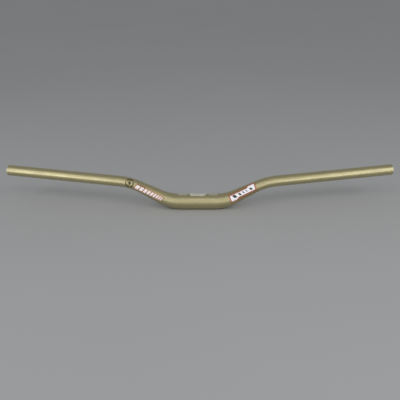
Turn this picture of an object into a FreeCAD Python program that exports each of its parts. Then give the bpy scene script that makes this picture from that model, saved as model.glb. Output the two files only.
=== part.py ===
import FreeCAD, Part
import math
import os
from FreeCAD import Rotation, Vector

# An off-road riser handlebar: one tube, drawn thicker at the clamp, tapered down to the grips and bent.
# The origin is the middle of the clamp zone, on the tube's axis. +X runs along the clamp zone to the
# rider's left hand, +Y back to the rider and +Z up. Millimetres and degrees.

# The tube's line
width = 800.0              # end to end, straight across
clamp_straight = 36.0      # half of the straight clamp zone, where the inner bends and the taper begin
rise = 39.0                # from the clamp's axis up to the corner of the outer bend
rise_angle = 25.5          # slope of the rise
inner_bend_radius = 90.0
outer_bend_radius = 120.0
back_sweep = 7.0           # of the grip ends, back towards the rider
up_sweep = 5.0             # of the grip ends, upwards
roll_back_angle = 17.0     # how far the bar stands turned back in its clamp

# The tube's section
clamp_diameter = 31.8
grip_diameter = 22.2
clamp_wall = 2.4
grip_wall = 1.9
taper_length = 88.0        # along the tube, from the clamp zone to the grip diameter
end_round = 0.7            # outer edge of each open end
bore_chamfer = 0.5         # inner edge of each open end
loft_step = 3.0            # degrees of bend from one section of a tapered bend to the next

# The printed films on the two rises. A place is a distance along the tube's axis from the middle, and facing
# is the angle above straight ahead in the bar's own frame, before it is rolled back.
film = 0.12                # thickness
film_corner = 1.5          # corner radius of the two slanted films
panel_place = 95.0
panel_length = 61.0
panel_height = 19.4
panel_slant_angle = 4.0
panel_facing_angle = 10.0
strip_place = 102.0
strip_length = 64.0
strip_height = 12.5
strip_slant_angle = 20.0
strip_facing_angle = -3.0
badge_diameter = 20.0
badge_facing_angle = 6.0
badge_gap = 1.2            # from the strip's end to the badge's edge
badge_place = strip_place + strip_length / 2 + badge_gap + badge_diameter / 2

hair = 1e-6                # lengths below this are none
origin = Vector(0, 0, 0)
along_bar = Vector(1, 0, 0)
forward = Vector(0, -1, 0)


def unit(vector):
    return vector * (1.0 / vector.Length)


class Straight:
    """A straight run of the tube's axis, from start along direction."""

    def __init__(self, start, direction, length):
        self.start, self.direction, self.length = start, direction, length

    def point(self, distance):
        return self.start + self.direction * distance

    def tangent(self, distance):
        return self.direction


class Bend:
    """A circular run of the tube's axis, from start along direction, turning about pivot round axis."""

    def __init__(self, start, direction, new_direction, radius):
        self.axis = unit(direction.cross(new_direction))
        self.angle = math.degrees(direction.getAngle(new_direction))
        self.radius = radius
        self.start, self.direction = start, direction
        self.pivot = start + self.axis.cross(direction) * radius
        self.length = radius * math.radians(self.angle)

    def turn(self, distance):
        return Rotation(self.axis, math.degrees(distance / self.radius))

    def point(self, distance):
        return self.pivot + self.turn(distance).multVec(self.start - self.pivot)

    def tangent(self, distance):
        return self.turn(distance).multVec(self.direction)


def side_runs():
    """The axis from the clamp zone's edge to one end: bend, rise, bend, grip arm."""
    rise_way = Rotation(forward, rise_angle).multVec(along_bar)
    arm_way = unit(Vector(1, math.tan(math.radians(back_sweep)), math.tan(math.radians(up_sweep))))
    inner_corner_leg = inner_bend_radius * math.tan(along_bar.getAngle(rise_way) / 2)
    outer_corner_leg = outer_bend_radius * math.tan(rise_way.getAngle(arm_way) / 2)
    corner_to_corner = rise / math.sin(math.radians(rise_angle))

    inner_bend = Bend(along_bar * clamp_straight, along_bar, rise_way, inner_bend_radius)
    rise_start = inner_bend.point(inner_bend.length)
    rise_run = Straight(rise_start, rise_way, corner_to_corner - inner_corner_leg - outer_corner_leg)
    outer_bend = Bend(rise_run.point(rise_run.length), rise_way, arm_way, outer_bend_radius)
    arm_start = outer_bend.point(outer_bend.length)
    arm = Straight(arm_start, arm_way, (width / 2 - arm_start.x) / arm_way.x)
    return [inner_bend, rise_run, outer_bend, arm]


def taper(clamp_size, grip_size, distance):
    """A size that falls evenly from the clamp zone's edge to the end of the taper."""
    share = min(max((distance - clamp_straight) / taper_length, 0.0), 1.0)
    return clamp_size + (grip_size - clamp_size) * share


def outer_radius(distance):
    return taper(clamp_diameter, grip_diameter, distance) / 2


def bore_radius(distance):
    return outer_radius(distance) - taper(clamp_wall, grip_wall, distance)


def film_radius(distance):
    return outer_radius(distance) + film


def circle(centre, normal, radius):
    return Part.Wire(Part.makeCircle(radius, centre, normal))


def stretch(run, low, high, run_start, radius_at):
    """One solid stretch of a run, between two distances on it, exact where the radius doesn't change."""
    low_radius, high_radius = radius_at(run_start + low), radius_at(run_start + high)
    even = abs(high_radius - low_radius) < hair
    if isinstance(run, Straight):
        if even:
            return Part.makeCylinder(low_radius, high - low, run.point(low), run.direction)
        return Part.makeCone(low_radius, high_radius, high - low, run.point(low), run.direction)
    if even:
        disc = Part.Face(circle(run.point(low), run.tangent(low), low_radius))
        return disc.revolve(run.pivot, run.axis, math.degrees((high - low) / run.radius))
    steps = max(2, math.ceil(math.degrees((high - low) / run.radius) / loft_step))
    sections = []
    for step in range(steps + 1):
        place = low + (high - low) * step / steps
        section = circle(run.start, run.direction, radius_at(run_start + place))
        section.rotate(run.pivot, run.axis, math.degrees(place / run.radius))
        sections.append(section)
    return Part.makeLoft(sections, True, False)


def swept(runs, low, high, radius_at):
    """The stretches of one side between two distances along the tube's axis."""
    breaks = [low, high, clamp_straight + taper_length]
    pieces = []
    run_start = clamp_straight
    for run in runs:
        run_end = run_start + run.length
        cuts = sorted(min(max(place, run_start), run_end) for place in breaks + [run_start, run_end])
        for here, there in zip(cuts, cuts[1:]):
            if there - here > hair and here > low - hair and there < high + hair:
                pieces.append(stretch(run, here - run_start, there - run_start, run_start, radius_at))
        run_start = run_end
    return pieces


def both_sides(pieces):
    return pieces + [piece.mirror(origin, along_bar) for piece in pieces]


def on_line(runs, distance):
    """The point and direction of the tube's axis at a distance from the middle, on the +X side."""
    run_start = clamp_straight
    for run in runs:
        if distance <= run_start + run.length:
            break
        run_start += run.length
    return run.point(distance - run_start), run.tangent(distance - run_start)


def rounded_outline(points, radius):
    """A closed wire through the points with each corner rounded."""
    edges = []
    count = len(points)
    starts, ends = [], []
    for index, corner in enumerate(points):
        back = unit(points[index - 1] - corner)
        ahead = unit(points[(index + 1) % count] - corner)
        half = back.getAngle(ahead) / 2
        leg = radius / math.tan(half)
        middle = corner + unit(back + ahead) * (radius / math.sin(half) - radius)
        starts.append(corner + back * leg)
        ends.append(corner + ahead * leg)
        edges.append(Part.Arc(starts[-1], middle, ends[-1]).toShape())
    for index in range(count):
        edges.append(Part.LineSegment(ends[index], starts[(index + 1) % count]).toShape())
    return Part.Wire(Part.__sortEdges__(edges))


def facing_frame(runs, place, facing):
    """Middle of a film on the tube's axis, with the way along the tube there and the way the film faces."""
    middle, way = on_line(runs, place)
    ahead = Rotation(along_bar, -facing).multVec(forward)
    return middle, way, unit(ahead - way * ahead.dot(way))


def slanted_cutter(runs, place, length, height, slant, facing):
    """A prism with a slanted four-cornered outline, standing out from the tube's axis."""
    middle, way, out = facing_frame(runs, place, facing)
    across = way.cross(out)
    lean = math.tan(math.radians(slant)) * height / 2
    corners = [
        middle + way * (-length / 2 - lean) - across * (height / 2),
        middle + way * (length / 2 - lean) - across * (height / 2),
        middle + way * (length / 2 + lean) + across * (height / 2),
        middle + way * (-length / 2 + lean) + across * (height / 2),
    ]
    return Part.Face(rounded_outline(corners, film_corner)).extrude(out * clamp_diameter)


def round_cutter(runs, place, diameter, facing):
    """A round prism standing out from the tube's axis."""
    middle, way, out = facing_frame(runs, place, facing)
    return Part.makeCylinder(diameter / 2, clamp_diameter, middle, out)


def make_film(runs, cutter, place, reach, core):
    """The skin of film over the tube inside a cutter's outline, which lies within reach of its place."""
    sleeve = swept(runs, max(place - reach, clamp_straight), place + reach, film_radius)
    skin = sleeve[0].fuse(sleeve[1:]) if len(sleeve) > 1 else sleeve[0]
    return skin.common(cutter).cut(core)


def make_core(runs, tube_end):
    """The tube's outer form, solid, with rounded ends."""
    middle = Part.makeCylinder(clamp_diameter / 2, 2 * clamp_straight, along_bar * -clamp_straight, along_bar)
    side = swept(runs, clamp_straight, tube_end, outer_radius)
    tip = runs[-1].point(runs[-1].length)
    rim = [edge for edge in side[-1].Edges if edge.Closed and (edge.CenterOfMass - tip).Length < end_round]
    side[-1] = side[-1].makeFillet(end_round, rim)
    return middle.fuse(both_sides(side))


def make_bore(runs, tube_end):
    """The hollow inside the tube, from end to end, flared at the open ends."""
    middle_radius = bore_radius(clamp_straight)
    middle = Part.makeCylinder(middle_radius, 2 * clamp_straight, along_bar * -clamp_straight, along_bar)
    side = swept(runs, clamp_straight, tube_end, bore_radius)
    arm = runs[-1]
    mouth_radius = bore_radius(tube_end)
    side.append(Part.makeCone(mouth_radius, mouth_radius + bore_chamfer, bore_chamfer,
                              arm.point(arm.length - bore_chamfer), arm.direction))
    return middle.fuse(both_sides(side))


def make_parts():
    runs = side_runs()
    tube_end = clamp_straight + sum(run.length for run in runs)
    core = make_core(runs, tube_end)
    panel = slanted_cutter(runs, panel_place, panel_length, panel_height, panel_slant_angle, panel_facing_angle)
    strip = slanted_cutter(runs, strip_place, strip_length, strip_height, strip_slant_angle, strip_facing_angle)
    badge = round_cutter(runs, badge_place, badge_diameter, badge_facing_angle)
    panel_film = make_film(runs, panel, panel_place, panel_length, core)
    strip_film = make_film(runs, strip, strip_place, strip_length, core)
    badge_film = make_film(runs, badge, badge_place, badge_diameter, core)
    return {
        "bar_tube": core.cut(make_bore(runs, tube_end)),
        "panel_decal": panel_film,
        "strip_decal": strip_film.mirror(origin, along_bar),
        "badge_decal": badge_film.mirror(origin, along_bar),
    }


os.makedirs("parts", exist_ok=True)
for name, shape in make_parts().items():
    if shape.ShapeType == "Compound" and len(shape.Solids) == 1:
        shape = shape.Solids[0]
    shape.rotate(origin, along_bar, -roll_back_angle)
    shape.exportStep("parts/" + name + ".step")
    print(name, shape.ShapeType, len(shape.Solids), "solids", round(shape.Volume, 2), "mm3", shape.isValid())
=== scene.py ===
import math

import bmesh
import bpy
from mathutils import Matrix, Quaternion, Vector


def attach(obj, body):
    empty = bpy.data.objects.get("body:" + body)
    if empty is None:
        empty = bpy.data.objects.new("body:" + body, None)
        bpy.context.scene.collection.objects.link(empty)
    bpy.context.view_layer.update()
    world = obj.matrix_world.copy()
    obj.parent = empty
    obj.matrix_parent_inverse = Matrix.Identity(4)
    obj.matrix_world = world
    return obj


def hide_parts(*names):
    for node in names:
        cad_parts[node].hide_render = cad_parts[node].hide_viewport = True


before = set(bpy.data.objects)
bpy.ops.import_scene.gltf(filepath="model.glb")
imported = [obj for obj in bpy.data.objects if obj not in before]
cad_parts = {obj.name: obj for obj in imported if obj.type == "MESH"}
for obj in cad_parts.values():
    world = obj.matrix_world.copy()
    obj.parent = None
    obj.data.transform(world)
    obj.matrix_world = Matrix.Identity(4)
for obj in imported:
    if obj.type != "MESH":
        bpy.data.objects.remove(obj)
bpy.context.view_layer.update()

mm = 0.001
fullTurn = 2 * math.pi

# The tube's line and section, in the bar's own frame, before it is rolled back in its clamp.
barLine = {
    "halfWidth": 400 * mm,
    "clampStraight": 36 * mm,  # half of the straight clamp zone
    "rise": 39 * mm,
    "riseAngle": 25.5,
    "innerBendRadius": 90 * mm,
    "outerBendRadius": 120 * mm,
    "backSweep": 7,
    "upSweep": 5,
    "rollBack": 17,
}

barSection = {
    "clampRadius": 15.9 * mm,
    "gripRadius": 11.1 * mm,
    "clampWall": 2.4 * mm,
    "gripWall": 1.9 * mm,
    "taperLength": 88 * mm,
    "taperEase": 5 * mm,  # the taper fades in and out over this much each way
    "endRound": 0.7 * mm,
    "mouthChamfer": 0.5 * mm,
    "facets": 120,
    "seam": -110,  # where the skin closes, in degrees above straight ahead
}

rollBack = Matrix.Rotation(math.radians(-barLine["rollBack"]), 4, "X")


def bendRun(start, heading, newHeading, radius):
    axis = heading.cross(newHeading).normalized()
    return {"start": start, "heading": heading, "axis": axis, "radius": radius,
            "pivot": start + axis.cross(heading) * radius, "length": radius * heading.angle(newHeading)}


def placeOnRun(run, distance):
    if "radius" not in run:
        return run["start"] + run["heading"] * distance, run["heading"]
    turn = Quaternion(run["axis"], distance / run["radius"])
    return run["pivot"] + turn @ (run["start"] - run["pivot"]), turn @ run["heading"]


def layOutRuns(line):
    # clamp zone, inner bend, rise, outer bend and grip arm, on the +X side
    across = Vector((1, 0, 0))
    slope = math.radians(line["riseAngle"])
    riseWay = Vector((math.cos(slope), 0, math.sin(slope)))
    armWay = Vector((1, math.tan(math.radians(line["backSweep"])), math.tan(math.radians(line["upSweep"]))))
    armWay.normalize()
    clamp = {"start": Vector((0, 0, 0)), "heading": across, "length": line["clampStraight"]}
    inner = bendRun(across * line["clampStraight"], across, riseWay, line["innerBendRadius"])
    legs = (line["innerBendRadius"] * math.tan(across.angle(riseWay) / 2)
            + line["outerBendRadius"] * math.tan(riseWay.angle(armWay) / 2))
    rise = {"start": placeOnRun(inner, inner["length"])[0], "heading": riseWay,
            "length": line["rise"] / math.sin(slope) - legs}
    outer = bendRun(placeOnRun(rise, rise["length"])[0], riseWay, armWay, line["outerBendRadius"])
    armStart = placeOnRun(outer, outer["length"])[0]
    arm = {"start": armStart, "heading": armWay, "length": (line["halfWidth"] - armStart.x) / armWay.x}
    return [clamp, inner, rise, outer, arm]


barRuns = layOutRuns(barLine)
halfLength = sum(run["length"] for run in barRuns)


def barAxis(distance):
    # point and heading at a signed distance along the bar from its middle
    left = abs(distance)
    for run in barRuns:
        if left <= run["length"] or run is barRuns[-1]:
            break
        left -= run["length"]
    point, heading = placeOnRun(run, left)
    if distance < 0:
        return Vector((-point.x, point.y, point.z)), Vector((heading.x, -heading.y, -heading.z))
    return point, heading


def eased(value, reach):
    # max(value, 0) with its corner rounded over the reach each way
    if abs(value) < reach:
        return (value + reach) ** 2 / (4 * reach)
    return max(value, 0.0)


def taperShare(distance):
    # 0 in the clamp zone, 1 on the grip arm
    past = abs(distance) - barLine["clampStraight"]
    ease, length = barSection["taperEase"], barSection["taperLength"]
    return (eased(past, ease) - eased(past - length, ease)) / length


def between(low, high, share):
    return low + (high - low) * share


def skinRadius(distance):
    return between(barSection["clampRadius"], barSection["gripRadius"], taperShare(distance))


def boreRadius(distance):
    wall = between(barSection["clampWall"], barSection["gripWall"], taperShare(distance))
    return skinRadius(distance) - wall


def spokesAt(heading):
    # the ways straight ahead and up from the axis, square to it
    ahead = Vector((0, -1, 0))
    ahead = (ahead - heading * ahead.dot(heading)).normalized()
    return ahead, ahead.cross(heading)


def shareAround(turn):
    # the share of a full turn from the skin's seam to an angle above straight ahead
    return (turn - math.radians(barSection["seam"])) / fullTurn % 1.0


# Short ways to add and join shader nodes.
def addNode(tree, kind, place, settings=None, values=None):
    node = tree.nodes.new(kind)
    node.location = place
    for name, value in (settings or {}).items():
        setattr(node, name, value)
    for name, value in (values or {}).items():
        node.inputs[name].default_value = value
    return node


def feed(tree, socket, value):
    if isinstance(value, bpy.types.NodeSocket):
        tree.links.new(value, socket)
    else:
        socket.default_value = value


def calculate(tree, place, operation, *values):
    node = addNode(tree, "ShaderNodeMath", place, {"operation": operation})
    for socket, value in zip(node.inputs, values):
        feed(tree, socket, value)
    return node.outputs["Value"]


def spread(tree, place, value, fromRange, toRange=(0.0, 1.0)):
    node = addNode(tree, "ShaderNodeMapRange", place, {"interpolation_type": "SMOOTHSTEP"},
                   {"From Min": fromRange[0], "From Max": fromRange[1],
                    "To Min": toRange[0], "To Max": toRange[1]})
    feed(tree, node.inputs["Value"], value)
    return node.outputs["Result"]


def blendColours(tree, place, share, first, second):
    node = addNode(tree, "ShaderNodeMix", place, {"data_type": "RGBA"})
    for index, value in ((0, share), (6, first), (7, second)):  # the mix node's factor and its two colours
        feed(tree, node.inputs[index], value)
    return node.outputs[2]


def addRelief(tree, shader, place, height, depth):
    bump = addNode(tree, "ShaderNodeBump", place, None, {"Strength": 1.0, "Distance": depth})
    feed(tree, bump.inputs["Height"], height)
    feed(tree, shader.inputs["Normal"], bump.outputs["Normal"])


def startGroup(name, inputs, outputs):
    group = bpy.data.node_groups.new(name, "ShaderNodeTree")
    for socketName, kind, value in inputs:
        socket = group.interface.new_socket(name=socketName, in_out="INPUT", socket_type=kind)
        if value is not None:
            socket.default_value = value
    for socketName in outputs:
        group.interface.new_socket(name=socketName, in_out="OUTPUT", socket_type="NodeSocketFloat")
    return group, addNode(group, "NodeGroupInput", (-1000, 0)), addNode(group, "NodeGroupOutput", (800, 0))


def placeGroup(tree, group, place, values=None, links=None):
    node = addNode(tree, "ShaderNodeGroup", place, {"node_tree": group}, values)
    for name, socket in (links or {}).items():
        feed(tree, node.inputs[name], socket)
    return node


# Effects that several finishes share.
peeningEffect = {
    "pitHeight": 0.7,
    "grainHeight": 0.5,
    "cloudRange": (0.3, 0.7),
}


def makePeening(effect):
    group, given, result = startGroup("shotPeening", [
        ("Position", "NodeSocketVector", None),
        ("Dimples per metre", "NodeSocketFloat", 1100.0),
        ("Cloud scale", "NodeSocketFloat", 38.0)], ["Height", "Tone"])
    grain = addNode(group, "ShaderNodeTexNoise", (-600, 200), None, {"Detail": 3.0, "Roughness": 0.62})
    dimples = addNode(group, "ShaderNodeTexVoronoi", (-600, -60), {"feature": "SMOOTH_F1"},
                      {"Smoothness": 0.35})
    cloud = addNode(group, "ShaderNodeTexNoise", (-600, -340), None, {"Detail": 5.0, "Roughness": 0.55})
    for node in (grain, dimples, cloud):
        feed(group, node.inputs["Vector"], given.outputs["Position"])
    feed(group, grain.inputs["Scale"], given.outputs["Dimples per metre"])
    feed(group, dimples.inputs["Scale"], given.outputs["Dimples per metre"])
    feed(group, cloud.inputs["Scale"], given.outputs["Cloud scale"])
    pits = calculate(group, (-360, -60), "MULTIPLY", dimples.outputs["Distance"], effect["pitHeight"])
    rough = calculate(group, (-360, 200), "MULTIPLY", grain.outputs["Fac"], effect["grainHeight"])
    feed(group, result.inputs["Height"], calculate(group, (-120, 80), "ADD", pits, rough))
    tone = spread(group, (-120, -340), cloud.outputs["Fac"], effect["cloudRange"])
    feed(group, result.inputs["Tone"], tone)
    return group


drawEffect = {
    "wavesAlong": 9.0,  # per metre
    "streakRange": (0.32, 0.68),
}


def makeDrawLines(effect):
    # faint lines along the tube, left by the drawing die
    group, given, result = startGroup("drawLines", [
        ("Along", "NodeSocketFloat", None),
        ("Around", "NodeSocketFloat", None),
        ("Lines around", "NodeSocketFloat", 12.0)], ["Streak"])
    count = given.outputs["Lines around"]
    turn = calculate(group, (-780, -80), "MULTIPLY", given.outputs["Around"], fullTurn)
    cosine = calculate(group, (-780, 0), "COSINE", turn)
    sine = calculate(group, (-780, -200), "SINE", turn)
    join = addNode(group, "ShaderNodeCombineXYZ", (-400, 0))
    along = calculate(group, (-600, 160), "MULTIPLY", given.outputs["Along"], effect["wavesAlong"])
    feed(group, join.inputs["X"], along)
    feed(group, join.inputs["Y"], calculate(group, (-600, 0), "MULTIPLY", cosine, count))
    feed(group, join.inputs["Z"], calculate(group, (-600, -160), "MULTIPLY", sine, count))
    lines = addNode(group, "ShaderNodeTexNoise", (-200, 0), None,
                    {"Scale": 1.0, "Detail": 4.0, "Roughness": 0.6})
    feed(group, lines.inputs["Vector"], join.outputs["Vector"])
    streak = spread(group, (100, 0), lines.outputs["Fac"], effect["streakRange"])
    feed(group, result.inputs["Streak"], streak)
    return group


handlingEffect = {"smudgeRange": (0.48, 0.72)}


def makeHandling(effect):
    # dull smudges where hands and cloths have been
    group, given, result = startGroup("handlingMarks", [
        ("Position", "NodeSocketVector", None),
        ("Size", "NodeSocketFloat", 22.0)], ["Smudge"])
    smear = addNode(group, "ShaderNodeTexNoise", (-500, 0), None,
                    {"Detail": 6.0, "Roughness": 0.6, "Distortion": 0.8})
    feed(group, smear.inputs["Vector"], given.outputs["Position"])
    feed(group, smear.inputs["Scale"], given.outputs["Size"])
    smudge = spread(group, (-200, 0), smear.outputs["Fac"], effect["smudgeRange"])
    feed(group, result.inputs["Smudge"], smudge)
    return group


peening = makePeening(peeningEffect)
drawLines = makeDrawLines(drawEffect)
handling = makeHandling(handlingEffect)


def startFinish(name):
    finish = bpy.data.materials.new(name)
    finish.use_nodes = True
    tree = finish.node_tree
    tree.nodes.clear()
    shader = addNode(tree, "ShaderNodeBsdfPrincipled", (700, 0))
    output = addNode(tree, "ShaderNodeOutputMaterial", (1000, 0))
    tree.links.new(shader.outputs["BSDF"], output.inputs["Surface"])
    position = addNode(tree, "ShaderNodeTexCoord", (-1100, 0)).outputs["Object"]
    return finish, tree, shader, position


# Gold anodising on shot-peened aluminium, bare and under the clear parts of the films.
goldFinish = {
    "fullTone": (0.43, 0.379, 0.186),
    "paleTone": (0.475, 0.423, 0.218),
    "bareMetal": (0.83, 0.81, 0.76),
    "cloudShare": 0.65,  # of the tone's mottle; the draw lines give the rest
    "streakShare": 0.35,
    "roughness": 0.5,
    "smudgeRoughness": 0.07,
    "mottleRoughness": -0.05,
    "oxideIndex": 1.7,
    "dimpleDepth": 0.035 * mm,
    "streakRelief": 0.12,
    "rimWear": 1.1 * mm,  # how far the bared rim reaches in from each end
    "fullWear": 0.2,  # share of that reach that is worn all over
    "chipFrom": (0.3, 0.55),  # peening heights between which the wear comes and goes
    "chipTo": (0.45, 1.0),
}


def tinted(colour, tint):
    return tuple(channel * share for channel, share in zip(colour, tint)) + (1,)


def makeGold(name, tint=(1.0, 1.0, 1.0), extraRoughness=0.0, sealing=0.0, sealingRoughness=0.3):
    look = goldFinish
    finish, tree, shader, position = startFinish(name)
    skin = placeGroup(tree, peening, (-700, 200), None, {"Position": position})
    marks = placeGroup(tree, handling, (-700, -500), None, {"Position": position})
    barPlace = addNode(tree, "ShaderNodeUVMap", (-1100, -250), {"uv_map": "barPlace"})
    parts = addNode(tree, "ShaderNodeSeparateXYZ", (-900, -250))
    feed(tree, parts.inputs["Vector"], barPlace.outputs["UV"])
    drawn = placeGroup(tree, drawLines, (-700, -150), None,
                       {"Along": parts.outputs["X"], "Around": parts.outputs["Y"]})
    cloudy = calculate(tree, (-450, 200), "MULTIPLY", skin.outputs["Tone"], look["cloudShare"])
    streaky = calculate(tree, (-450, -80), "MULTIPLY", drawn.outputs["Streak"], look["streakShare"])
    mottle = calculate(tree, (-450, 60), "ADD", cloudy, streaky)
    full, pale = tinted(look["fullTone"], tint), tinted(look["paleTone"], tint)
    gold = blendColours(tree, (-200, 200), mottle, full, pale)
    fromMiddle = calculate(tree, (-600, -320), "ABSOLUTE", parts.outputs["X"])
    toEnd = calculate(tree, (-450, -320), "SUBTRACT", halfLength, fromMiddle)
    rim = spread(tree, (-250, -320), toEnd, (look["rimWear"], look["fullWear"] * look["rimWear"]))
    patchy = spread(tree, (-250, -560), skin.outputs["Height"], look["chipFrom"], look["chipTo"])
    chips = calculate(tree, (-50, -320), "MULTIPLY", rim, patchy)
    colour = blendColours(tree, (200, 200), chips, gold, tinted(look["bareMetal"], tint))
    feed(tree, shader.inputs["Base Color"], colour)
    dull = calculate(tree, (0, -60), "MULTIPLY_ADD", marks.outputs["Smudge"], look["smudgeRoughness"],
                     look["roughness"] + extraRoughness)
    roughness = calculate(tree, (250, -60), "MULTIPLY_ADD", mottle, look["mottleRoughness"], dull)
    feed(tree, shader.inputs["Roughness"], roughness)
    shader.inputs["Metallic"].default_value = 1.0
    shader.inputs["Coat Weight"].default_value = sealing
    shader.inputs["Coat Roughness"].default_value = sealingRoughness
    shader.inputs["Coat IOR"].default_value = look["oxideIndex"]
    height = calculate(tree, (200, -400), "MULTIPLY_ADD", drawn.outputs["Streak"], look["streakRelief"],
                       skin.outputs["Height"])
    addRelief(tree, shader, (450, -300), height, look["dimpleDepth"])
    return finish


filmGloss = {"extraRoughness": -0.06, "sealing": 0.6, "sealingRoughness": 0.22}
goldKinds = {
    "champagneGold": {"sealing": 1.0},
    "boreGold": {"tint": (0.72, 0.72, 0.72), "extraRoughness": 0.12},
    "clearFilm": {"tint": (0.97, 0.96, 0.94), **filmGloss},
    "blushFilm": {"tint": (1.03, 0.79, 0.74), **filmGloss},
}
finishes = {name: makeGold(name, **kind) for name, kind in goldKinds.items()}

inkShades = {
    "paleInk": {"full": (0.92, 0.85, 0.81, 1), "thin": (0.86, 0.77, 0.73, 1), "roughness": 0.42},
    "whiteInk": {"full": (0.93, 0.92, 0.94, 1), "thin": (0.87, 0.85, 0.88, 1), "roughness": 0.40},
    "rustInk": {"full": (0.33, 0.075, 0.050, 1), "thin": (0.39, 0.13, 0.085, 1), "roughness": 0.45},
    "smokeInk": {"full": (0.13, 0.13, 0.16, 1), "thin": (0.20, 0.20, 0.23, 1), "roughness": 0.42},
    "darkInk": {"full": (0.020, 0.016, 0.014, 1), "thin": (0.045, 0.036, 0.026, 1), "roughness": 0.40},
    "umberInk": {"full": (0.042, 0.027, 0.010, 1), "thin": (0.070, 0.048, 0.019, 1), "roughness": 0.48},
    "silverInk": {"full": (0.71, 0.71, 0.65, 1), "thin": (0.61, 0.60, 0.52, 1), "roughness": 0.50},
}

inkFinish = {
    "dimplesPerMetre": 2100.0,
    "cloudScale": 260.0,
    "smudgeSize": 60.0,
    "starved": 0.8,  # how thin the ink gets in the palest clouds
    "smudgeRoughness": 0.16,
    "relief": 0.006 * mm,
    "sealing": 0.25,
    "sealingRoughness": 0.25,
}


def makeInk(name):
    look, shade = inkFinish, inkShades[name]
    finish, tree, shader, position = startFinish(name)
    grain = {"Dimples per metre": look["dimplesPerMetre"], "Cloud scale": look["cloudScale"]}
    skin = placeGroup(tree, peening, (-700, 200), grain, {"Position": position})
    marks = placeGroup(tree, handling, (-700, -200), {"Size": look["smudgeSize"]}, {"Position": position})
    thinness = calculate(tree, (-400, 200), "MULTIPLY", skin.outputs["Tone"], look["starved"])
    colour = blendColours(tree, (-100, 200), thinness, shade["full"], shade["thin"])
    feed(tree, shader.inputs["Base Color"], colour)
    roughness = calculate(tree, (-100, -100), "MULTIPLY_ADD", marks.outputs["Smudge"],
                          look["smudgeRoughness"], shade["roughness"])
    feed(tree, shader.inputs["Roughness"], roughness)
    addRelief(tree, shader, (300, -300), skin.outputs["Height"], look["relief"])
    shader.inputs["Coat Weight"].default_value = look["sealing"]
    shader.inputs["Coat Roughness"].default_value = look["sealingRoughness"]
    return finish


finishes.update({name: makeInk(name) for name in inkShades})
print("finishes made")

# The tube: one closed skin, out along the bar, round each lip and back through the bore.
tubeSteps = {
    "clamp": 4 * mm,
    "bend": 1.5 * mm,
    "rise": 2 * mm,
    "arm": 6 * mm,
    "lipRun": 4 * mm,  # left for the lip's own rings
    "lipRings": (2.4 * mm, 1.4 * mm, 0.9 * mm),  # in from the end
    "roundSteps": 6,
}


def tubeDistances():
    # distances from the bar's middle, closer together in the bends
    steps = [tubeSteps[name] for name in ("clamp", "bend", "rise", "bend", "arm")]
    distances, start = [0.0], 0.0
    for run, step in zip(barRuns, steps):
        length = run["length"] - (tubeSteps["lipRun"] if run is barRuns[-1] else 0)
        count = math.ceil(length / step)
        distances += [start + length * index / count for index in range(1, count + 1)]
        start += run["length"]
    return distances


def tubeProfile():
    # distance, radius and finish of each ring of the closed loop
    skin, bore = 0, 1  # the tube's finishes, in their order
    half = tubeDistances()
    lip, chamfer = barSection["endRound"], barSection["mouthChamfer"]
    outside, mouth = skinRadius(halfLength), boreRadius(halfLength)
    skinPlaces = half + [halfLength - reach for reach in tubeSteps["lipRings"]]
    rightSide = [(place, skinRadius(place), skin) for place in skinPlaces]
    for step in range(tubeSteps["roundSteps"] + 1):
        turn = fullTurn / 4 * step / tubeSteps["roundSteps"]
        place = halfLength - lip * (1 - math.sin(turn))
        rightSide.append((place, outside - lip * (1 - math.cos(turn)), skin))
    rightSide.append((halfLength, mouth + chamfer, skin))
    rightSide += [(halfLength - chamfer * reach, mouth, bore) for reach in (1, 2)]
    rightSide += [(place, boreRadius(place), bore) for place in reversed(half)]
    leftSide = [(-place, radius, finish) for place, radius, finish in reversed(rightSide)]
    return rightSide[:-1] + leftSide[:-1]


def makeTube():
    rings = tubeProfile()
    facets, seam = barSection["facets"], math.radians(barSection["seam"])
    vertices, faces, faceFinishes, places = [], [], [], []
    for here, (place, radius, finish) in enumerate(rings):
        there = (here + 1) % len(rings)
        nextPlace, nextFinish = rings[there][0], rings[there][2]
        point, heading = barAxis(place)
        ahead, up = spokesAt(heading)
        for index in range(facets):
            turn = seam + fullTurn * index / facets
            vertices.append(point + (ahead * math.cos(turn) + up * math.sin(turn)) * radius)
            after = (index + 1) % facets
            corners = ((here, index), (there, index), (there, after), (here, after))
            faces.append([ring * facets + spoke for ring, spoke in corners])
            faceFinishes.append(min(finish, nextFinish))  # the bore's only where both rings are
            low, high = index / facets, (index + 1) / facets
            places += [(place, low), (nextPlace, low), (nextPlace, high), (place, high)]
    mesh = bpy.data.meshes.new("riserBar")
    mesh.from_pydata(vertices, [], faces)
    layer = mesh.uv_layers.new(name="barPlace")
    for loop, place in enumerate(places):
        layer.data[loop].uv = place
    for face, finish in zip(mesh.polygons, faceFinishes):
        face.material_index = finish
    return mesh


barPieces = bpy.data.collections.new("barPieces")
sharpAngle = math.radians(32)


def addPiece(name, mesh, finishNames, slotName, *nodes):
    mesh.transform(rollBack)
    for finish in finishNames:
        mesh.materials.append(finishes[finish])
    mesh.shade_smooth()
    mesh.set_sharp_from_angle(angle=sharpAngle)
    piece = bpy.data.objects.new(name, mesh)
    bpy.context.scene.collection.objects.link(piece)
    barPieces.objects.link(piece)
    if nodes:
        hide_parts(*nodes)
    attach(piece, "root")
    return piece


riserBar = addPiece("riserBar", makeTube(), ["champagneGold", "boreGold"], "gold_anodised", "bar_tube")
print("tube made:", len(riserBar.data.polygons), "faces")

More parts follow.
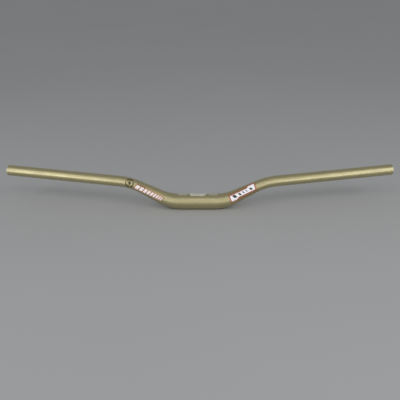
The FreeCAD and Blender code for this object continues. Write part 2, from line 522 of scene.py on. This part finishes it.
# Prints. Their flat outlines, in millimetres with p outward and q up, are pressed onto the bar's skin.
pressing = {
    "seatTries": 5,
    "axisTries": 3,
    "leastStand": 0.1 * mm,  # of a point off the bar's axis
    "leastFacing": 0.15,  # of the skin towards the film, so that a try never shoots off
    "filmCut": (2.0 * mm, 0.9 * mm),  # spacing of the cuts that let a print bend, along p and q
    "lineCut": (6.0 * mm, 0.6 * mm),
    "tickCut": (1.2 * mm, 0.8 * mm),
    "cutGrip": 1e-8,  # corners nearer than this to a cut lie on it
    "cutMargin": 1e-7,  # how far inside the outline a cut has to lie
}


def facingSeat(side, place, facing):
    # a film that is pressed on from one side: p and q are measured in a plane that faces the tube
    middle, way = barAxis(place)
    tilt = math.radians(facing)
    out = Vector((0, -math.cos(tilt), math.sin(tilt)))
    out = (out - way * out.dot(way)).normalized()
    up = out.cross(way)

    def seat(p, q):
        distance = place + p
        stand = math.sqrt(max(skinRadius(distance) ** 2 - q * q, pressing["leastStand"] ** 2))
        for attempt in range(pressing["seatTries"]):
            point = middle + way * p + up * q + out * stand
            for closer in range(pressing["axisTries"]):
                centre, heading = barAxis(distance)
                distance += (point - centre).dot(heading)
            centre, heading = barAxis(distance)
            spoke = point - centre
            facingOut = max(spoke.normalized().dot(out), pressing["leastFacing"])
            stand += (skinRadius(distance) - spoke.length) / facingOut
        point, normal = middle + way * p + up * q + out * stand, spoke.normalized()
        around = shareAround(math.atan2(normal.z, -normal.y))
        if side < 0:
            point.x, normal.x, distance = -point.x, -normal.x, -distance
        return point, normal, distance, around
    return seat


def wrappedSeat(facing):
    # a print that is rolled round the clamp zone: p is measured from the bar's middle and q along the skin
    tilt = math.radians(facing)

    def seat(p, q):
        centre, heading = barAxis(p)
        ahead, up = spokesAt(heading)
        turn = tilt + q / barSection["clampRadius"]
        normal = ahead * math.cos(turn) + up * math.sin(turn)
        return centre + normal * skinRadius(p), normal, p, shareAround(turn)
    return seat


def cutAcross(flat, way, values, step):
    # even cuts square to one way of the flat outline
    low, high = min(values), max(values)
    cut = math.ceil(low / step) * step
    while cut < high - pressing["cutMargin"]:
        if cut > low + pressing["cutMargin"]:
            place, normal = Vector((0, 0, 0)), Vector((0, 0, 0))
            place[way], normal[way] = cut, 1.0
            everything = flat.verts[:] + flat.edges[:] + flat.faces[:]
            bmesh.ops.bisect_plane(flat, geom=everything, dist=pressing["cutGrip"],
                                   plane_co=place, plane_no=normal)
        cut += step


def pressOn(target, seat, outline, low, high, finish=0, cuts=pressing["filmCut"]):
    # one closed layer from a low to a high distance off the skin, added to the target
    corners = [(p * mm, q * mm) for p, q in outline]
    flat = bmesh.new()
    flat.faces.new([flat.verts.new((p, q, low)) for p, q in corners])
    for way in (0, 1):
        cutAcross(flat, way, [corner[way] for corner in corners], cuts[way])
    raised = bmesh.ops.extrude_face_region(flat, geom=flat.faces[:])
    for item in raised["geom"]:
        if isinstance(item, bmesh.types.BMVert):
            item.co.z = high
    layer = flat.loops.layers.uv.new("barPlace")
    for vertex in flat.verts:
        point, normal, distance, around = seat(vertex.co.x, vertex.co.y)
        vertex.co = point + normal * vertex.co.z
        for loop in vertex.link_loops:
            loop[layer].uv = (distance, around)
    for face in flat.faces:
        face.material_index = finish
    bmesh.ops.recalc_face_normals(flat, faces=flat.faces[:])
    piece = bpy.data.meshes.new("layer")
    flat.to_mesh(piece)
    flat.free()
    target.from_mesh(piece)
    bpy.data.meshes.remove(piece)


def addPrint(name, target, finishNames, slotName, *nodes):
    mesh = bpy.data.meshes.new(name)
    target.to_mesh(mesh)
    target.free()
    addPiece(name, mesh, finishNames, slotName, *nodes)


def roundCorners(points, radius, steps=6):
    rounded = []
    for index, corner in enumerate(points):
        corner = Vector(corner)
        back = (Vector(points[index - 1]) - corner).normalized()
        ahead = (Vector(points[(index + 1) % len(points)]) - corner).normalized()
        half = back.angle(ahead) / 2
        centre = corner + (back + ahead).normalized() * (radius / math.sin(half))
        leg = radius / math.tan(half)
        first, last = corner + back * leg - centre, corner + ahead * leg - centre
        sweep = first.angle_signed(last)
        for step in range(steps + 1):
            turn = -sweep * step / steps
            rounded.append((centre.x + first.x * math.cos(turn) - first.y * math.sin(turn),
                            centre.y + first.x * math.sin(turn) + first.y * math.cos(turn)))
    return rounded


def slanted(middle, bottom, length, height, slant):
    # four corners of a bar that leans inward at its top
    lean = math.tan(math.radians(slant)) * height / 2
    left, right, top = middle - length / 2, middle + length / 2, bottom + height
    return [(left + lean, bottom), (right + lean, bottom), (right - lean, top), (left - lean, top)]


def upright(left, right, bottom, top):
    return [(left, bottom), (right, bottom), (right, top), (left, top)]


def onCircle(radius, turns):
    return [(radius * math.cos(turn), radius * math.sin(turn)) for turn in turns]


def arcBand(radius, width, fromTurn, toTurn, steps=40):
    turns = [math.radians(between(fromTurn, toTurn, step / steps)) for step in range(steps + 1)]
    return onCircle(radius + width / 2, turns) + onCircle(radius - width / 2, turns)[::-1]


def disc(diameter, steps=96):
    return onCircle(diameter / 2, [fullTurn * step / steps for step in range(steps)])


def grown(points, amount, leastMitre=0.35):
    # an outline pushed out by an even amount
    corners = [Vector(point) for point in points]
    following = corners[1:] + corners[:1]
    area = sum(here.x * there.y - there.x * here.y for here, there in zip(corners, following))
    outward = 1 if area > 0 else -1
    wide = []
    for index, here in enumerate(corners):
        ways = [(here - corners[index - 1]).normalized(), (following[index] - here).normalized()]
        out = [Vector((way.y, -way.x)) * outward for way in ways]
        bisector = (out[0] + out[1]).normalized()
        wide.append(tuple(here + bisector * (amount / max(bisector.dot(out[0]), leastMitre))))
    return wide


# Distances off the tube's skin at which each layer of a film starts or ends.
filmHeights = {
    "under": -0.03 * mm,
    "sunk": 0.05 * mm,
    "clear": 0.075 * mm,
    "backing": 0.095 * mm,
    "field": 0.11 * mm,
    "top": 0.12 * mm,
}


def startFilm(design, outline):
    # the clear carrier, which takes the first of the film's finishes
    target = bmesh.new()
    seat = facingSeat(design["side"], design["place"], design["facing"])
    pressOn(target, seat, outline, filmHeights["under"], filmHeights["clear"])
    return {"target": target, "seat": seat, "finishes": design["finishes"]}


def layInk(film, outline, level, ink):
    finish = film["finishes"].index(ink)
    pressOn(film["target"], film["seat"], outline, filmHeights["sunk"], filmHeights[level], finish)


def slantedOutline(design):
    corners = slanted(0, -design["height"] / 2, design["length"], design["height"], design["slant"])
    return roundCorners(corners, design["corner"])


panelDesign = {
    "finishes": ["blushFilm", "rustInk", "whiteInk", "darkInk", "smokeInk"],
    "side": 1,
    "place": 95 * mm,
    "facing": 10,
    "length": 61,
    "height": 19.4,
    "slant": 4,
    "corner": 1.5,
    # a flash that steps down at its inner end and up at its outer end
    "field": [(-27.3, -7.3), (-15.8, -7.3), (-11.2, -4.4), (25.6, -4.4),
              (27.3, 7.1), (14.8, 7.1), (10.2, 4.1), (-26.5, 4.1)],
    "edge": 1.9,
    # middle, width, height and ink of each accent
    "accents": [(-17.9, 6.3, 6.7, "darkInk"), (-6.7, 4.1, 5.5, "darkInk"), (1.6, 2.9, 4.9, "smokeInk"),
                (8.4, 2.3, 4.3, "smokeInk"), (18.0, 4.7, 4.9, "darkInk")],
    "accentSlant": 26,
}


def makePanel(design):
    film = startFilm(design, slantedOutline(design))
    layInk(film, grown(design["field"], design["edge"]), "backing", "rustInk")
    layInk(film, design["field"], "field", "whiteInk")
    for middle, width, height, ink in design["accents"]:
        layInk(film, slanted(middle, -height / 2, width, height, design["accentSlant"]), "top", ink)
    return film["target"]


addPrint("panelDecal", makePanel(panelDesign), panelDesign["finishes"], "panel_film", "panel_decal")

stripDesign = {
    "finishes": ["blushFilm", "rustInk", "paleInk", "darkInk"],
    "side": -1,
    "place": 102 * mm,
    "facing": -3,
    "length": 64,
    "height": 12.5,
    "slant": 20,
    "corner": 1.5,
    "barWidths": [7.5, 6.7, 6.0, 5.3, 4.7, 4.1, 3.5, 2.9, 2.4],  # from the outer end inward
    "outerEnd": 29.5,
    "gap": 2.0,
    "bottom": -5.4,
    "barHeight": 8.2,
    "barSlant": 22,
    "edge": 0.7,
    "dots": [(27.4, 4.85), (22.4, 4.85), (17.3, 4.85), (12.2, 4.85), (-31.0, 2.2)],
    "dotSize": 2.3,
}


def makeStrip(design):
    film = startFilm(design, slantedOutline(design))
    end = design["outerEnd"]
    for width in design["barWidths"]:
        bar = slanted(end - width / 2, design["bottom"], width, design["barHeight"], design["barSlant"])
        layInk(film, grown(bar, design["edge"]), "backing", "rustInk")
        layInk(film, bar, "top", "paleInk")
        end -= width + design["gap"]
    size = design["dotSize"]
    for p, q in design["dots"]:
        layInk(film, slanted(p, q - size / 2, size, size, design["barSlant"]), "top", "darkInk")
    return film["target"]


addPrint("stripDecal", makeStrip(stripDesign), stripDesign["finishes"], "strip_film", "strip_decal")

badgeDesign = {
    "finishes": ["clearFilm", "umberInk"],
    "side": -1,
    "place": 145.2 * mm,
    "facing": 6,
    "diameter": 20,
    "ringRadius": 7.7,
    "ringWidth": 2.2,
    "ringArcs": [(32, 128), (152, 248), (272, 368)],
    "lozenge": [(-3.4, 0), (-0.6, -4.4), (3.4, 0), (0.6, 4.4)],
}


def makeBadge(design):
    film = startFilm(design, disc(design["diameter"]))
    for fromTurn, toTurn in design["ringArcs"]:
        layInk(film, arcBand(design["ringRadius"], design["ringWidth"], fromTurn, toTurn), "top", "umberInk")
    layInk(film, design["lozenge"], "top", "umberInk")
    return film["target"]


addPrint("badgeDecal", makeBadge(badgeDesign), badgeDesign["finishes"], "badge_film", "badge_decal")

clampScale = {
    "finishes": ["silverInk"],
    "facing": 72,  # above straight ahead, before the bar is rolled back
    "inkUnder": -0.03 * mm,
    "inkTop": 0.02 * mm,
    "lineCount": 9,
    "linePitch": 1.84,
    "lineWidth": 1.3,
    "firstLine": -6.3,
    "halfWidths": [13.9, 15.3, 16.9, 18.3, 19.5],  # of the lowest lines; the rest reach fullHalf
    "fullHalf": 20.4,
    "middleGap": 0.7,
    "ticksFrom": 22.8,
    "tickStep": 2.14,
    "tickCount": 9,
    "tickWidth": 0.8,
    "tickLow": -4.55,
    "tickHigh": 4.9,
    "longTickHigh": 8.8,
    "longTickEvery": 4,
}


def makeClampScale(design):
    target = bmesh.new()
    seat = wrappedSeat(design["facing"])
    low, high = design["inkUnder"], design["inkTop"]
    fullLines = design["lineCount"] - len(design["halfWidths"])
    for index, half in enumerate(design["halfWidths"] + [design["fullHalf"]] * fullLines):
        bottom = design["firstLine"] + design["linePitch"] * index
        for side in (-1, 1):
            left, right = sorted((side * design["middleGap"] / 2, side * half))
            line = upright(left, right, bottom, bottom + design["lineWidth"])
            pressOn(target, seat, line, low, high, cuts=pressing["lineCut"])
    half = design["tickWidth"] / 2
    for side in (-1, 1):
        for index in range(design["tickCount"]):
            p = side * (design["ticksFrom"] + design["tickStep"] * index)
            top = design["tickHigh"] if index % design["longTickEvery"] else design["longTickHigh"]
            tick = upright(p - half, p + half, design["tickLow"], top)
            pressOn(target, seat, tick, low, high, cuts=pressing["tickCut"])
    return target


addPrint("clampScale", makeClampScale(clampScale), clampScale["finishes"], "panel_film")
print("prints made")

# The studio: a wide pale floor, a grey surround and soft boxes in front.
studio = {
    "floorLevel": -barSection["clampRadius"],
    "floorSize": 30.0,
    "floorShades": ((0.50, 0.505, 0.51, 1), (0.54, 0.545, 0.55, 1)),
    "floorCloudScale": 1.3,
    "floorRoughness": 0.7,
    "surround": (0.33, 0.333, 0.336, 1),
}

# Place, aim, width and height in metres, and power in watts.
highLamps = {
    "leftHighBox": ((-1.25, -0.85, 1.05), (-0.22, 0.02, 0.04), (0.8, 0.7), 4.2),
    "rightHighBox": ((1.25, -0.85, 1.05), (0.22, 0.02, 0.04), (0.8, 0.7), 5.2),
    "middleHighBox": ((0.0, -1.1, 1.1), (0.0, 0.0, 0.03), (0.9, 0.6), 1.9),
}

# These are flagged off the floor, which they would burn out, and light the bar alone.
lowLamps = {
    "leftLowBox": ((-1.15, -1.0, 0.24), (-0.22, 0.02, 0.04), (0.9, 0.44), 4.25),
    "rightLowBox": ((1.15, -1.0, 0.24), (0.22, 0.02, 0.04), (0.9, 0.44), 1.7),
    "leftInnerBox": ((-0.65, -1.15, 0.24), (-0.14, 0.02, 0.03), (0.6, 0.44), 1.15),
    "rightInnerBox": ((0.65, -1.15, 0.24), (0.14, 0.02, 0.03), (0.6, 0.44), 2.4),
    "middleLowBox": ((0.0, -1.25, 0.24), (0.0, 0.0, 0.03), (0.9, 0.44), 0.55),
}

photoView = {
    "sensorWidth": 36.0,
    "lens": 49.04525,
    "place": (0.03749649, -1.01643972, 0.45712628),
    "right": (0.99955808, 0.02711042, -0.01219337),
    "up": (0.00005845, 0.40839474, 0.91280542),
    "nearest": 0.01,
    "furthest": 60.0,
}


def makeFloor():
    mesh = bpy.data.meshes.new("studioFloor")
    half, level = studio["floorSize"] / 2, studio["floorLevel"]
    corners = [(p, q, level) for p, q in upright(-half, half, -half, half)]
    mesh.from_pydata(corners, [], [(0, 1, 2, 3)])
    floor = bpy.data.objects.new("studioFloor", mesh)
    bpy.context.scene.collection.objects.link(floor)
    finish, tree, shader, position = startFinish("paleFloor")
    cloud = addNode(tree, "ShaderNodeTexNoise", (-600, 0), None,
                    {"Scale": studio["floorCloudScale"], "Detail": 4.0})
    feed(tree, cloud.inputs["Vector"], position)
    colour = blendColours(tree, (-200, 0), cloud.outputs["Fac"], *studio["floorShades"])
    feed(tree, shader.inputs["Base Color"], colour)
    shader.inputs["Roughness"].default_value = studio["floorRoughness"]
    mesh.materials.append(finish)


def addLamp(name, place, aim, size, power):
    data = bpy.data.lights.new(name, "AREA")
    data.shape, data.energy = "RECTANGLE", power
    data.size, data.size_y = size
    light = bpy.data.objects.new(name, data)
    light.location = place
    light.rotation_euler = (Vector(aim) - Vector(place)).to_track_quat("-Z", "Y").to_euler()
    light.visible_camera = False
    bpy.context.scene.collection.objects.link(light)
    return light


def addCamera(view):
    data = bpy.data.cameras.new("photoCamera")
    data.sensor_fit, data.sensor_width, data.lens = "HORIZONTAL", view["sensorWidth"], view["lens"]
    data.clip_start, data.clip_end = view["nearest"], view["furthest"]
    camera = bpy.data.objects.new("photoCamera", data)
    right, up = Vector(view["right"]), Vector(view["up"])
    turn = Matrix((right, up, right.cross(up))).transposed().to_4x4()
    camera.matrix_world = Matrix.Translation(view["place"]) @ turn
    bpy.context.scene.collection.objects.link(camera)
    bpy.context.scene.camera = camera


def setSurround():
    world = bpy.data.worlds.new("greySurround")
    world.use_nodes = True
    world.node_tree.nodes["Background"].inputs["Color"].default_value = studio["surround"]
    bpy.context.scene.world = world


makeFloor()
for name, lamp in highLamps.items():
    addLamp(name, *lamp)
for name, lamp in lowLamps.items():
    addLamp(name, *lamp).light_linking.receiver_collection = barPieces
addCamera(photoView)
setSurround()
bpy.context.scene.view_settings.view_transform = "Standard"
print("studio made")
